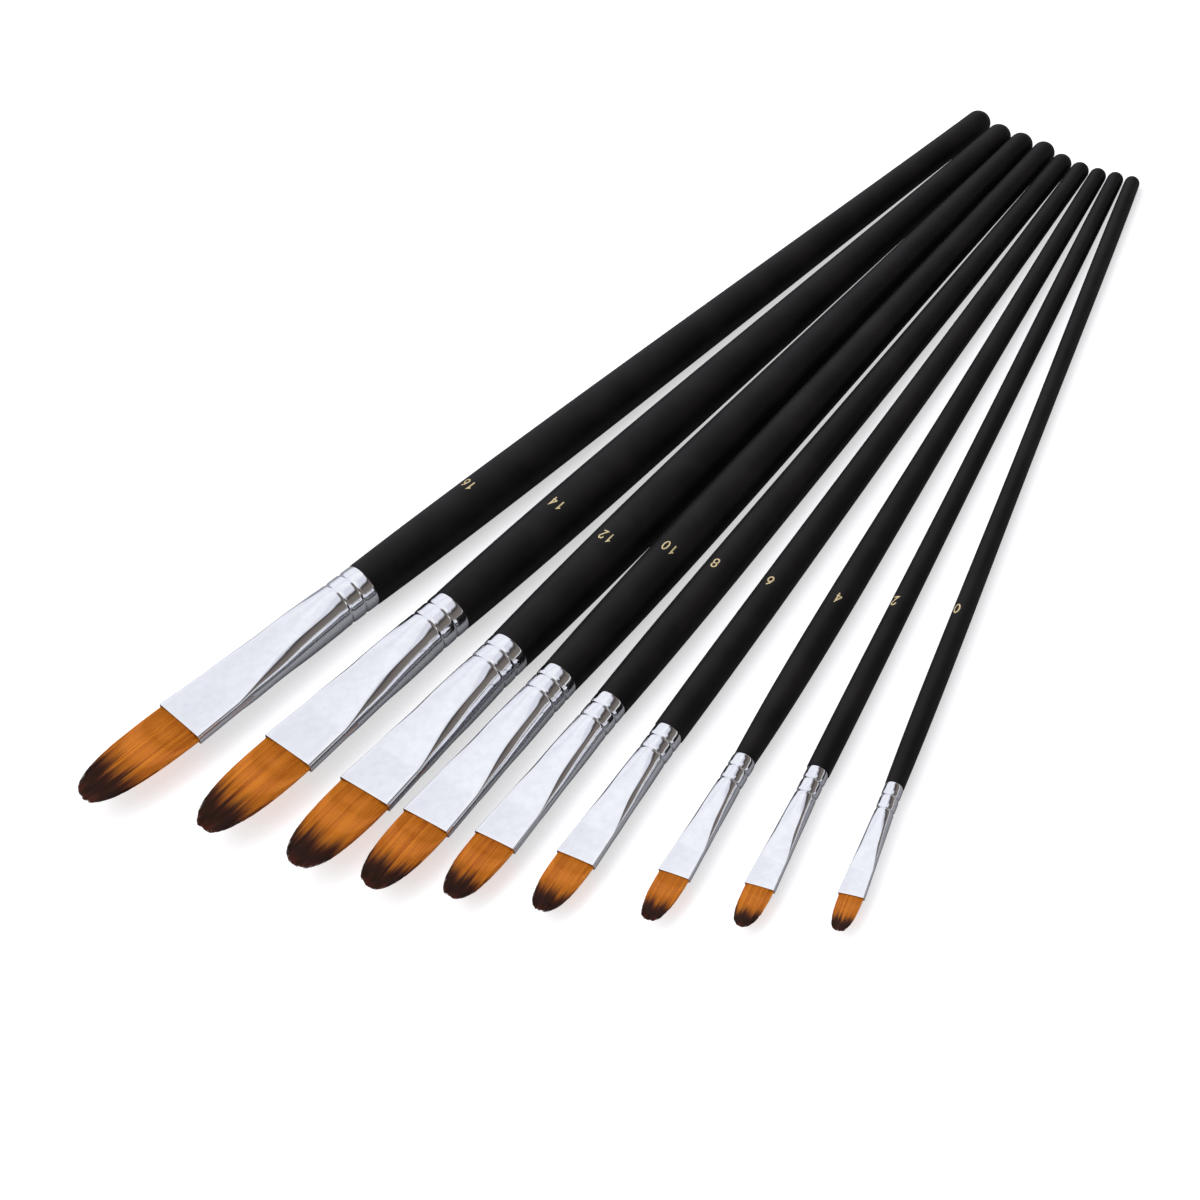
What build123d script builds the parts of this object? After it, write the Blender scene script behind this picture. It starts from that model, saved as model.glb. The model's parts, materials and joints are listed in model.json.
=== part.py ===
from build123d import *

import os
from math import atan, cos, pi, radians, sin
from typing import NamedTuple

# Filbert brush set: nine long-handled artist's brushes lying side by side on a table,
# their handle ends together and their hair fanned out. All sizes are in millimetres.
#
# Each brush has a wooden handle with a turned tenon, a seamless metal ferrule crimped
# twice on the tenon and pressed flat at its mouth, a resin plug, the bundle of hair set
# in the ferrule, the free hair beyond the mouth and the size number stamped in foil.


class Brush(NamedTuple):
    """One row of the maker's size chart."""

    number: int  # size number stamped on the handle
    collar_d: float  # outside diameter of the ferrule's round end
    belly_d: float  # thickest part of the handle
    tail_d: float  # handle just before its rounded end
    hair: float  # free hair beyond the mouth
    ferrule: float  # ferrule, rim to mouth
    handle: float  # visible handle, rim to tail end
    mark: float  # rim to the middle of the size number
    mark_turn: float  # number's place round the handle, degrees from the top
    fan: float  # direction of the handle in the fan, degrees
    gap: float  # space to the tail of the brush before it
    setback: float  # how far the tail end lies behind the one before it


SIZES = (
    Brush(16, 12.0, 12.6, 7.2, 30.0, 59.0, 234.0, 37.4, 6, 32.8, 0.0, 0.0),
    Brush(14, 11.8, 12.8, 7.0, 28.0, 56.0, 224.5, 38.5, -10, 36.9, 1.5, 1.7),
    Brush(12, 11.4, 12.5, 6.8, 24.5, 52.5, 226.0, 38.3, -5, 40.4, 0.4, 0.0),
    Brush(10, 9.9, 11.0, 6.4, 21.0, 51.0, 226.0, 44.1, -15, 42.6, 0.4, -0.2),
    Brush(8, 8.3, 9.0, 5.7, 17.5, 47.0, 224.0, 46.2, 1, 44.8, 0.3, 1.7),
    Brush(6, 7.4, 7.9, 5.1, 15.5, 41.0, 224.5, 49.0, 2, 47.7, 0.3, 0.7),
    Brush(4, 5.8, 7.0, 4.7, 13.0, 35.5, 224.0, 51.0, -12, 51.5, 0.4, 0.5),
    Brush(2, 5.3, 5.7, 4.5, 11.0, 34.5, 221.0, 52.5, 25, 54.7, 0.3, 0.0),
    Brush(0, 4.5, 5.2, 4.3, 9.5, 31.5, 219.5, 53.5, 24, 58.2, 0.3, 0.6),
)

# Handle
BELLY_AT = 0.14  # share of the handle length from rim to belly
MIDDLE_AT = 0.50  # share of the handle length from rim to the middle station
MIDDLE_SHARE = 0.86  # diameter there, as a share of the belly
RIM_SLOPE = 0.03  # how steeply the handle swells from the rim
TAIL_SLOPE = -0.01  # how steeply it narrows at the tail

# Ferrule
WALL = 0.25  # sheet metal
MOUTH = 0.35  # mouth height, before the share of the diameter
MOUTH_SHARE = 0.24
FLAT_SHARE = 0.22  # pressed flat length, as a share of the ferrule
CRIMP_DEPTH = 0.30
CRIMP_WIDTH = 1.10
FIRST_CRIMP = 3.2  # rim to first crimp, before the share of the diameter
FIRST_CRIMP_SHARE = 0.045
CRIMP_STEP = 3.4  # first crimp to second, before the share of the diameter
CRIMP_STEP_SHARE = 0.09
AFTER_CRIMP = 1.2  # second crimp to where the tube starts to flatten
CROWN = 12  # half the arc of the round end that each flat runs out to, degrees

# Fits inside the ferrule
TENON_GAP = 0.03  # glue film round the tenon
HAIR_GAP = 0.03  # glue film round the bundle
END_GAP = 0.05  # between tenon, plug and bundle
PLUG_SHARE = 0.12  # resin plug length, as a share of the ferrule

# Free hair
FLEX_GAP = 0.20  # mouth to the rounded root of the free hair
FULLNESS = 2.5  # exponent of the hair's outline from above: 2 is an ellipse, more is blunter
OUTLINE_TURNS = (18, 36, 54, 72)  # places of its points, degrees from the side to the tip
HAIR_SWELL = 1.12  # thickest hair, as a share of its thickness at the mouth
THICKEST_AT = 0.20  # share of the free hair's length from its root to there
TIP_SHARE = 0.24  # hair thickness at the tip, as a share of its thickness at the mouth
ROOT_SLOPE = 0.05  # how steeply each side of the hair swells at its root
TIP_SLOPE = 0.12  # how steeply it thins at the tip

# Spacing on the table
MOUTH_SPACE = 0.5  # least space between the mouths of two neighbours

# Size number
FOIL = 0.05
FOIL_GAP = 0.01  # adhesive under the foil
DIGIT_HEIGHT = 3.0
DIGIT_WIDTH = 1.7
DIGIT_PITCH = 2.3
STROKE = 0.38


def mouth_height(brush):
    """Outside height of the flattened mouth."""
    return MOUTH + MOUTH_SHARE * brush.collar_d


def mouth_width(brush):
    """Outside width of the mouth: pressing a tube flat keeps its girth."""
    return pi * (brush.collar_d - mouth_height(brush)) / 2 + mouth_height(brush)


def first_crimp(brush):
    """Distance from the rim to the middle of the first crimp."""
    return FIRST_CRIMP + FIRST_CRIMP_SHARE * brush.collar_d


def second_crimp(brush):
    """Distance from the rim to the middle of the second crimp."""
    return first_crimp(brush) + CRIMP_STEP + CRIMP_STEP_SHARE * brush.collar_d


def tube_start(brush):
    """Distance from the rim to where the round tube starts to flatten."""
    return second_crimp(brush) + AFTER_CRIMP


def knee(brush):
    """Distance from the rim to where the pressed flats start."""
    return brush.ferrule * (1 - FLAT_SHARE)


def plug_end(brush):
    """Distance from the rim to the far end of the resin plug."""
    return tube_start(brush) + PLUG_SHARE * brush.ferrule


def flex_axis(brush):
    """Distance from the rim to the axis that the free hair bends about."""
    return brush.ferrule + FLEX_GAP + hair_height(brush) / 2


def hair_height(brush):
    """Thickness of the hair at the mouth."""
    return mouth_height(brush) - 2 * (WALL + HAIR_GAP)


def hair_width(brush):
    """Width of the hair at the mouth."""
    return mouth_width(brush) - 2 * (WALL + HAIR_GAP)


def across(frame, distance):
    """Plane square to the brush, at a distance from the rim towards the hair."""
    return frame.offset(-distance)


def side(frame):
    """Plane through the brush's axis: local x runs to the tail, local y up."""
    return Plane(frame.origin, x_dir=frame.z_dir, z_dir=-frame.x_dir)


def plan(frame, height=0.0):
    """Plane along the brush, square to its height: local x across, local y to the hair."""
    return Plane(frame.origin, x_dir=frame.x_dir, z_dir=frame.y_dir).offset(height)


def long_axis(frame):
    """The brush's own axis."""
    return Axis(frame.origin, frame.z_dir)


def tube_section(brush, frame, distance, inset):
    """Section of the pressed tube: two flats and two ends, which start as arcs of a circle."""
    start, flat, end = tube_start(brush), knee(brush), brush.ferrule
    widening = (distance - start) / (end - start)
    width = brush.collar_d + widening * (mouth_width(brush) - brush.collar_d) - 2 * inset
    height = (brush.collar_d if distance < flat else mouth_height(brush)) - 2 * inset
    half_flat = (width - height) / 2
    corner_x, corner_y = half_flat, height / 2
    if distance < flat:
        corner_x = height / 2 * sin(radians(CROWN))
        corner_y = height / 2 * cos(radians(CROWN))
    with BuildSketch(across(frame, distance)) as oval:
        with BuildLine():
            ThreePointArc((corner_x, corner_y), (width / 2, 0), (corner_x, -corner_y))
            ThreePointArc((-corner_x, -corner_y), (-width / 2, 0), (-corner_x, corner_y))
            if distance < flat:
                ThreePointArc((-corner_x, corner_y), (0, height / 2), (corner_x, corner_y))
                ThreePointArc((corner_x, -corner_y), (0, -height / 2), (-corner_x, -corner_y))
            else:
                Line((-corner_x, corner_y), (corner_x, corner_y))
                Line((corner_x, -corner_y), (-corner_x, -corner_y))
        make_face()
    return oval.sketch


def tube(brush, frame, inset):
    """Sections of the pressed tube, from its round end to its mouth."""
    stations = (tube_start(brush), knee(brush), brush.ferrule)
    return [tube_section(brush, frame, distance, inset) for distance in stations]


def handle_outline(brush, lift=0.0):
    """Outline of the turned handle from the rim to the tail end, raised by lift."""
    rim, belly, tail = brush.collar_d / 2, brush.belly_d / 2, brush.tail_d / 2
    stations = (
        (0, rim + lift),
        (BELLY_AT * brush.handle, belly + lift),
        (MIDDLE_AT * brush.handle, MIDDLE_SHARE * belly + lift),
        (brush.handle - tail, tail + lift),
    )
    with BuildLine() as outline:
        turned = Spline(*stations, tangents=((1, RIM_SLOPE), (1, TAIL_SLOPE)))
        RadiusArc(turned @ 1, (brush.handle + lift, 0), tail + lift)
    return outline.line


def make_handle(brush, frame):
    """Turned wooden handle with its tenon, waisted under the two crimps."""
    bore = brush.collar_d / 2 - WALL
    tenon_r = bore - TENON_GAP
    tenon_end = -(tube_start(brush) - END_GAP)
    half = CRIMP_WIDTH / 2 + WALL + TENON_GAP
    with BuildPart() as handle:
        with BuildSketch(side(frame)):
            with BuildLine():
                add(handle_outline(brush))
                Polyline((brush.handle, 0), (tenon_end, 0), (tenon_end, tenon_r), (0, tenon_r))
                Line((0, tenon_r), (0, brush.collar_d / 2))
            make_face()
            for crimp in (-first_crimp(brush), -second_crimp(brush)):
                with BuildLine():
                    low = (crimp, tenon_r - CRIMP_DEPTH)
                    ThreePointArc((crimp - half, tenon_r), low, (crimp + half, tenon_r))
                    Line((crimp - half, tenon_r), (crimp + half, tenon_r))
                make_face(mode=Mode.SUBTRACT)
        revolve(axis=long_axis(frame))
    return handle


def make_ferrule(brush, frame):
    """Seamless ferrule: crimped round collar, then a tube pressed to a flat oval mouth."""
    outer = brush.collar_d / 2
    bore = outer - WALL
    start = tube_start(brush)
    with BuildPart() as ferrule:
        with BuildSketch(side(frame)):
            with Locations((-start / 2, outer - WALL / 2)):
                Rectangle(start, WALL)
            for crimp in (-first_crimp(brush), -second_crimp(brush)):
                for radius, half, action in (
                    (bore, CRIMP_WIDTH / 2 + WALL, Mode.ADD),
                    (outer, CRIMP_WIDTH / 2, Mode.SUBTRACT),
                ):
                    with BuildLine():
                        low = (crimp, radius - CRIMP_DEPTH)
                        ThreePointArc((crimp - half, radius), low, (crimp + half, radius))
                        Line((crimp - half, radius), (crimp + half, radius))
                    make_face(mode=action)
        revolve(axis=long_axis(frame))
        loft(tube(brush, frame, 0), ruled=True)
        loft(tube(brush, frame, WALL), ruled=True, mode=Mode.SUBTRACT)
    return ferrule


def make_filling(brush, frame, first, last):
    """What fills the pressed tube between two distances from the rim."""
    with BuildPart() as filling:
        loft(tube(brush, frame, WALL + HAIR_GAP), ruled=True)
        split(bisect_by=across(frame, first), keep=Keep.BOTTOM)
        if last < brush.ferrule:
            split(bisect_by=across(frame, last), keep=Keep.TOP)
    return filling


def make_glue_plug(brush, frame):
    """Resin block between the tenon and the hair."""
    return make_filling(brush, frame, tube_start(brush) + END_GAP, plug_end(brush))


def make_hair_root(brush, frame):
    """The part of the hair bundle that is held inside the ferrule."""
    return make_filling(brush, frame, plug_end(brush) + END_GAP, brush.ferrule)


def tuft_outline(half_width, root, tip):
    """Points down one side of the filbert outline, from the root's side to the tip."""
    power = 2 / FULLNESS
    turns = [radians(turn) for turn in OUTLINE_TURNS]
    bend = [(half_width * cos(t) ** power, root + (tip - root) * sin(t) ** power) for t in turns]
    return [(half_width, root), *bend, (0, tip)]


def make_hair_tuft(brush, frame):
    """Free hair: a filbert's blunt oval from above, a wedge with a rounded root from the side."""
    half_width, half_height = hair_width(brush) / 2, hair_height(brush) / 2
    root, tip = flex_axis(brush), brush.ferrule + brush.hair
    thickest = root + THICKEST_AT * (tip - root)
    tip_half = TIP_SHARE * half_height
    with BuildPart() as hair_tuft:
        with BuildSketch(plan(frame, -brush.collar_d / 2)):
            with BuildLine():
                right = Spline(
                    *tuft_outline(half_width, root, tip),
                    tangents=((0, 1), (-1, 0)),
                )
                mirror(right, about=Plane.YZ)
                Polyline(
                    (half_width, root),
                    (half_width, root - half_height),
                    (-half_width, root - half_height),
                    (-half_width, root),
                )
            make_face()
        extrude(amount=brush.collar_d)
        with BuildSketch(side(frame).offset(-brush.collar_d)):
            with BuildLine():
                upper = Spline(
                    (-root, half_height),
                    (-thickest, HAIR_SWELL * half_height),
                    (-tip, tip_half),
                    tangents=((-1, ROOT_SLOPE), (-1, -TIP_SLOPE)),
                )
                mirror(upper, about=Plane.XZ)
                Line((-tip, tip_half), (-tip, -tip_half))
                RadiusArc((-root, half_height), (-root, -half_height), half_height)
            make_face()
        extrude(amount=2 * brush.collar_d, mode=Mode.INTERSECT)
    return hair_tuft


def pen_lines(figure):
    """Open strokes of a figure: the middle line of each, as lists of points."""
    x, y = DIGIT_WIDTH / 2 - STROKE / 2, DIGIT_HEIGHT / 2 - STROKE / 2
    lines = {
        "1": [[(-0.6 * x, 0.5 * y), (0.2 * x, y), (0.2 * x, -y)]],
        "2": [[(-x, 0.5 * y), (-0.5 * x, y), (0.5 * x, y), (x, 0.5 * y), (-x, -y), (x, -y)]],
        "4": [[(0.5 * x, -y), (0.5 * x, y), (-x, -0.3 * y)], [(-x, -0.3 * y), (x, -0.3 * y)]],
        "6": [[(0.5 * x, y), (-0.5 * x, 0.5 * y), (-x, -0.4 * y)]],
    }
    return lines.get(figure, [])


def bowls(figure):
    """Closed bowls of a figure: middle height and half height of each."""
    y = DIGIT_HEIGHT / 2 - STROKE / 2
    rounds = {
        "0": [(0, y)],
        "6": [(-0.4 * y, 0.6 * y)],
        "8": [(0.48 * y, 0.52 * y), (-0.48 * y, 0.52 * y)],
    }
    return rounds.get(figure, [])


def digit(figure, plane):
    """One figure of the size number, drawn with a pen of constant width."""
    half_width = DIGIT_WIDTH / 2 - STROKE / 2
    with BuildSketch(plane) as figure_face:
        for points in pen_lines(figure):
            with BuildLine():
                Polyline(*points)
            trace(line_width=STROKE)
        for middle, half_height in bowls(figure):
            with Locations((0, middle)):
                Ellipse(half_width + STROKE / 2, half_height + STROKE / 2)
        for middle, half_height in bowls(figure):
            with Locations((0, middle)):
                Ellipse(half_width - STROKE / 2, half_height - STROKE / 2, mode=Mode.SUBTRACT)
    return figure_face.sketch


def make_size_mark(brush, frame):
    """Foil number on the handle, its feet to the tail and its first figure to one side."""
    figures = str(brush.number)
    outward = frame.y_dir.rotate(long_axis(frame), -brush.mark_turn)
    sideways = frame.x_dir.rotate(long_axis(frame), -brush.mark_turn)
    face = Plane(frame.origin + frame.z_dir * brush.mark, x_dir=sideways, z_dir=outward)
    stamp = []
    for place_in_row, figure in enumerate(figures):
        shift = (place_in_row - (len(figures) - 1) / 2) * DIGIT_PITCH
        spot = Plane(face.origin + face.x_dir * shift, x_dir=face.x_dir, z_dir=face.z_dir)
        stamp += digit(figure, spot).faces()
    with BuildPart() as size_mark:
        extrude(stamp, amount=brush.belly_d, dir=face.z_dir)
        for lift, action in ((FOIL_GAP + FOIL, Mode.INTERSECT), (FOIL_GAP, Mode.SUBTRACT)):
            with BuildSketch(side(frame)):
                with BuildLine():
                    add(handle_outline(brush, lift))
                    Line((brush.handle + lift, 0), (0, 0))
                    Line((0, 0), (0, brush.collar_d / 2 + lift))
                make_face()
            revolve(axis=long_axis(frame), mode=action)
    return size_mark


def place(brush, tail):
    """Frame of a brush whose tail end is at a point: origin at the rim, z to the tail."""
    belly_at, middle_at = BELLY_AT * brush.handle, MIDDLE_AT * brush.handle
    drop = (1 - MIDDLE_SHARE) * brush.belly_d / 2
    lean = atan(drop / (middle_at - belly_at))
    turn = radians(brush.fan)
    heading = Vector(cos(turn) * cos(lean), sin(turn) * cos(lean), -sin(lean))
    sideways = Vector(-sin(turn), cos(turn), 0)
    return Plane(tail - heading * brush.handle, x_dir=sideways, z_dir=heading)


def tail_step(before, brush):
    """Distance between two neighbours' axes at the tail, more where their mouths need it."""
    at_tails = (before.tail_d + brush.tail_d) / 2 + brush.gap
    fanned_out = (brush.handle + brush.ferrule) * sin(radians(brush.fan - before.fan))
    at_mouths = (mouth_width(before) + mouth_width(brush)) / 2 + MOUTH_SPACE
    return max(at_tails, at_mouths - fanned_out)


def tail_ends(first):
    """Tail ends of the brushes, each beside the one before it, in plan."""
    points = [first]
    for before, brush in zip(SIZES, SIZES[1:]):
        direction = radians((before.fan + brush.fan) / 2)
        away = Vector(sin(direction), -cos(direction)) * tail_step(before, brush)
        back = Vector(cos(direction), sin(direction)) * -brush.setback
        points.append(points[-1] + away + back)
    return points


def on_table(brush, tail):
    """Frame of a brush that rests on the table, z = 0."""
    lowest = make_handle(brush, place(brush, tail)).part.bounding_box().min.Z
    return place(brush, tail + Vector(0, 0, -lowest))


def keep(piece, name, brush):
    """Label a finished piece and write it to its own file."""
    piece.part.label = f"{name}_{brush.number}"
    export_step(piece.part, f"parts/{piece.part.label}.step")


def centred_frames():
    """Frames of all the brushes, with the set's outline centred on the origin."""
    rough = [on_table(brush, tail) for brush, tail in zip(SIZES, tail_ends(Vector(0, 0, 0)))]
    outline = []
    for brush, frame in zip(SIZES, rough):
        outline += [make_handle(brush, frame).part, make_hair_tuft(brush, frame).part]
    middle = Compound(children=outline).bounding_box().center()
    shift = Vector(-middle.X, -middle.Y, 0)
    return [Plane(f.origin + shift, x_dir=f.x_dir, z_dir=f.z_dir) for f in rough]


os.makedirs("parts", exist_ok=True)

for brush, frame in zip(SIZES, centred_frames()):
    keep(make_handle(brush, frame), "handle", brush)
    keep(make_ferrule(brush, frame), "ferrule", brush)
    keep(make_glue_plug(brush, frame), "glue_plug", brush)
    keep(make_hair_root(brush, frame), "hair_root", brush)
    keep(make_hair_tuft(brush, frame), "hair_tuft", brush)
    keep(make_size_mark(brush, frame), "size_mark", brush)
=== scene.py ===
"""Nine filbert paint brushes in graded sizes, laid out as a fan on a pale table."""

import json
import logging
import math
from dataclasses import dataclass
from enum import Enum
from typing import Any

import bmesh
import bpy
import numpy as np
from mathutils import Matrix, Vector


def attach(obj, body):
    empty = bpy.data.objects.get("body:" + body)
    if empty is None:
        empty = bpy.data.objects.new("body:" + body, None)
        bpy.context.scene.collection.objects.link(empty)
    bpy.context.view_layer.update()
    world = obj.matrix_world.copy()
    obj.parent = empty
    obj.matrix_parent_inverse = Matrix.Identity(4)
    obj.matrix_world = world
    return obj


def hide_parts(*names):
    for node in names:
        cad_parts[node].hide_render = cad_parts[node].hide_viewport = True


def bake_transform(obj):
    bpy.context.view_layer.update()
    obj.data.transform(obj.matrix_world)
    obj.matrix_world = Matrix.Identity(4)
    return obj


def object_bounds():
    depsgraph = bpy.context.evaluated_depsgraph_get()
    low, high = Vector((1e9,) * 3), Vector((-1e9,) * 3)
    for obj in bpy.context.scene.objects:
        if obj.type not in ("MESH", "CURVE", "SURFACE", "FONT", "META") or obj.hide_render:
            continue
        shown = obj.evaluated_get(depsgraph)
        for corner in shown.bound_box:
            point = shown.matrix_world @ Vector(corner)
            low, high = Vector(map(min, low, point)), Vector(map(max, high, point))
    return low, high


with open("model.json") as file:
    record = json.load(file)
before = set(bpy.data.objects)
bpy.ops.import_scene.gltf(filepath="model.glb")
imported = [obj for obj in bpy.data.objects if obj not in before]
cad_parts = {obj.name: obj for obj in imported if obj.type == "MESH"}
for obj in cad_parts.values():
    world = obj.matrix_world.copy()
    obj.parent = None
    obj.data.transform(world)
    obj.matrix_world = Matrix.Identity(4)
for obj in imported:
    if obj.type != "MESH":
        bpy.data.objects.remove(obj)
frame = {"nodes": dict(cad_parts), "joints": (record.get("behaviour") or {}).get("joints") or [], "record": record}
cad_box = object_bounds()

log = logging.getLogger("brushes")

MM = 0.001
MERGE_DISTANCE = 1e-4
STRAIGHT_R = 10.0  # radius of the straight tube that becomes a ferrule
NUMBERS = (16, 14, 12, 10, 8, 6, 4, 2, 0)


# ---------------------------------------------------------------- shader building


class Kind(Enum):
    """Shader nodes used by the finishes."""

    ATTRIBUTE = "ShaderNodeAttribute"
    BUMP = "ShaderNodeBump"
    COORDINATES = "ShaderNodeTexCoord"
    LIGHT_PATH = "ShaderNodeLightPath"
    MAPPING = "ShaderNodeMapping"
    MATH = "ShaderNodeMath"
    MIX = "ShaderNodeMix"
    NOISE = "ShaderNodeTexNoise"
    RAMP = "ShaderNodeValToRGB"
    RANGE = "ShaderNodeMapRange"
    SEPARATE = "ShaderNodeSeparateXYZ"


class Value:
    """A number given by a node. Python's operators combine it with other numbers."""

    def __init__(self, graph: "Graph", socket: bpy.types.NodeSocket) -> None:
        """Wrap an output socket of a graph."""
        self.graph = graph
        self.socket = socket

    def _with(self, operation: str, first: Any, second: Any) -> "Value":
        """Combine two values by a Math node."""
        return self.graph.value(Kind.MATH, {"operation": operation}, {0: first, 1: second})

    def __add__(self, other: Any) -> "Value":
        """Sum."""
        return self._with("ADD", self, other)

    __radd__ = __add__

    def __sub__(self, other: Any) -> "Value":
        """Difference."""
        return self._with("SUBTRACT", self, other)

    def __mul__(self, other: Any) -> "Value":
        """Product."""
        return self._with("MULTIPLY", self, other)

    __rmul__ = __mul__

    def step(self, start: float, end: float) -> "Value":
        """Smooth change from 0 at start to 1 at end.

        Args:
            start: Value where the change starts.
            end: Value where it ends.

        Returns:
            A value from 0 to 1.
        """
        settings = {"interpolation_type": "SMOOTHSTEP"}
        return self.graph.value(Kind.RANGE, settings, {"Value": self, "From Min": start, "From Max": end})


class Graph:
    """Adds nodes to a material or a world."""

    def __init__(self, owner: bpy.types.Material | bpy.types.World) -> None:
        """Use the nodes of a material or a world."""
        owner.use_nodes = True
        self.tree = owner.node_tree

    def node(self, kind: Kind, settings: dict | None = None, inputs: dict | None = None) -> bpy.types.Node:
        """Add a node.

        Args:
            kind: The node's type.
            settings: Its properties; "stops" are a ramp's places and colours.
            inputs: Numbers, colours, values or sockets for its inputs.

        Returns:
            The new node.
        """
        made = self.tree.nodes.new(kind.value)
        for name, setting in (settings or {}).items():
            if name == "stops":
                self._set_stops(made.color_ramp, setting)
            else:
                setattr(made, name, setting)
        for name, source in (inputs or {}).items():
            self.feed(made.inputs[name], source)
        return made

    def _set_stops(self, ramp: bpy.types.ColorRamp, stops: tuple) -> None:
        """Give a ramp its stops."""
        while len(ramp.elements) < len(stops):
            ramp.elements.new(1.0)
        for element, (place, colour) in zip(ramp.elements, stops):
            element.position = place
            element.color = (*colour, 1.0)

    def feed(self, socket: bpy.types.NodeSocket, source: Any) -> None:
        """Link a value or a socket to an input, or set the input to a constant."""
        if isinstance(source, Value):
            source = source.socket
        if isinstance(source, bpy.types.NodeSocket):
            self.tree.links.new(source, socket)
        elif isinstance(source, tuple) and socket.type == "RGBA":
            socket.default_value = (*source, 1.0)
        else:
            socket.default_value = source

    def value(self, kind: Kind, settings: dict | None = None, inputs: dict | None = None) -> Value:
        """First output of a new node, as a value."""
        return Value(self, self.node(kind, settings, inputs).outputs[0])

    def attribute(self, name: str) -> Value:
        """A number stored on the mesh."""
        made = self.node(Kind.ATTRIBUTE, {"attribute_name": name})
        return Value(self, made.outputs["Fac"])

    def place(self, scale: tuple = (1.0, 1.0, 1.0), turn: tuple = (0.0, 0.0, 0.0)) -> bpy.types.NodeSocket:
        """Object coordinates, turned and then scaled.

        Args:
            scale: Scale on each axis, applied after the turn.
            turn: Euler angles in radians.

        Returns:
            The vector socket.
        """
        source = self.node(Kind.COORDINATES).outputs["Object"]
        turned = self.node(Kind.MAPPING, {"vector_type": "POINT"}, {"Vector": source, "Rotation": turn})
        scaled = self.node(
            Kind.MAPPING, {"vector_type": "POINT"}, {"Vector": turned.outputs[0], "Scale": scale}
        )
        return scaled.outputs[0]

    def noise(self, vector: Any, scale: float, detail: float = 2.0, rough: float = 0.5) -> Value:
        """Noise from 0 to 1.

        Args:
            vector: Where to look it up.
            scale: Cells per metre.
            detail: Octaves.
            rough: Strength of each octave against the one before.

        Returns:
            The noise.
        """
        inputs = {"Vector": vector, "Scale": scale, "Detail": detail, "Roughness": rough}
        return self.value(Kind.NOISE, {"noise_dimensions": "3D"}, inputs)

    def mix(self, share: Any, first: Any, second: Any) -> bpy.types.NodeSocket:
        """Colour between two colours."""
        made = self.node(Kind.MIX, {"data_type": "RGBA"}, {0: share, 6: first, 7: second})
        return made.outputs[2]

    def bump(self, height: Value, depth: float, strength: float = 1.0) -> bpy.types.NodeSocket:
        """Normal bent by a height.

        Args:
            height: Height as a share of depth.
            depth: Full height in metres.
            strength: Share of the effect.

        Returns:
            The normal socket.
        """
        inputs = {"Height": height, "Distance": depth, "Strength": strength}
        return self.node(Kind.BUMP, {}, inputs).outputs[0]


def new_finish(name: str, constants: dict, varying: Any = None) -> bpy.types.Material:
    """Make a finish on one Principled shader.

    Args:
        name: The material's name.
        constants: Fixed inputs of the shader.
        varying: Function that takes the graph and gives the inputs that vary.

    Returns:
        The material.
    """
    material = bpy.data.materials.new(name)
    graph = Graph(material)
    shader = graph.tree.nodes["Principled BSDF"]
    for socket, constant in constants.items():
        graph.feed(shader.inputs[socket], constant)
    for socket, source in (varying(graph) if varying else {}).items():
        graph.feed(shader.inputs[socket], source)
    return material


# ---------------------------------------------------------------- finishes


@dataclass(frozen=True)
class Lacquer:
    """Black lacquer with a low sheen over turned wood."""

    colour: tuple = (0.0054, 0.0047, 0.0049)
    worn: tuple = (0.0100, 0.0086, 0.0088)
    roughness: float = 0.50
    grain_depth: float = 0.00003

    def material(self) -> bpy.types.Material:
        """The finish as a material."""
        return new_finish("black_lacquer", {"IOR": 1.48, "Specular IOR Level": 0.15}, self._vary)

    def _vary(self, graph: Graph) -> dict:
        """Cloudy colour and sheen, and a fine orange peel over a faint grain."""
        cloud = graph.noise(graph.place(), 90.0, 3.0)
        peel = graph.noise(graph.place(), 2600.0, 2.0)
        grain = graph.noise(graph.place(scale=(0.12, 1.0, 1.0), turn=(0.0, 0.0, -0.77)), 1800.0, 3.0)
        return {
            "Base Color": graph.mix(cloud.step(0.35, 0.75), self.colour, self.worn),
            "Roughness": self.roughness + (cloud - 0.5) * 0.10 + (peel - 0.5) * 0.06,
            "Normal": graph.bump(peel * 0.4 + grain * 0.6, self.grain_depth, 0.35),
        }


@dataclass(frozen=True)
class Nickel:
    """Bright plate, rolled smooth, with faint ripples left by the press."""

    colour: tuple = (0.86, 0.87, 0.90)
    hazed: tuple = (0.80, 0.81, 0.85)
    roughness: float = 0.10
    ripple: float = 0.00012

    def material(self) -> bpy.types.Material:
        """The finish as a material."""
        return new_finish("bright_nickel", {"Metallic": 1.0}, self._vary)

    def _vary(self, graph: Graph) -> dict:
        """Soft ripples and a little haze."""
        ripple = graph.noise(graph.place(), 150.0, 2.5)
        fine = graph.noise(graph.place(), 1500.0, 3.0)
        haze = graph.noise(graph.place(), 480.0, 4.0)
        return {
            "Base Color": graph.mix(haze.step(0.3, 0.8), self.colour, self.hazed),
            "Roughness": self.roughness + (haze - 0.4) * 0.14,
            "Normal": graph.bump(ripple * 0.94 + fine * 0.06, self.ripple, 0.6),
        }


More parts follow.
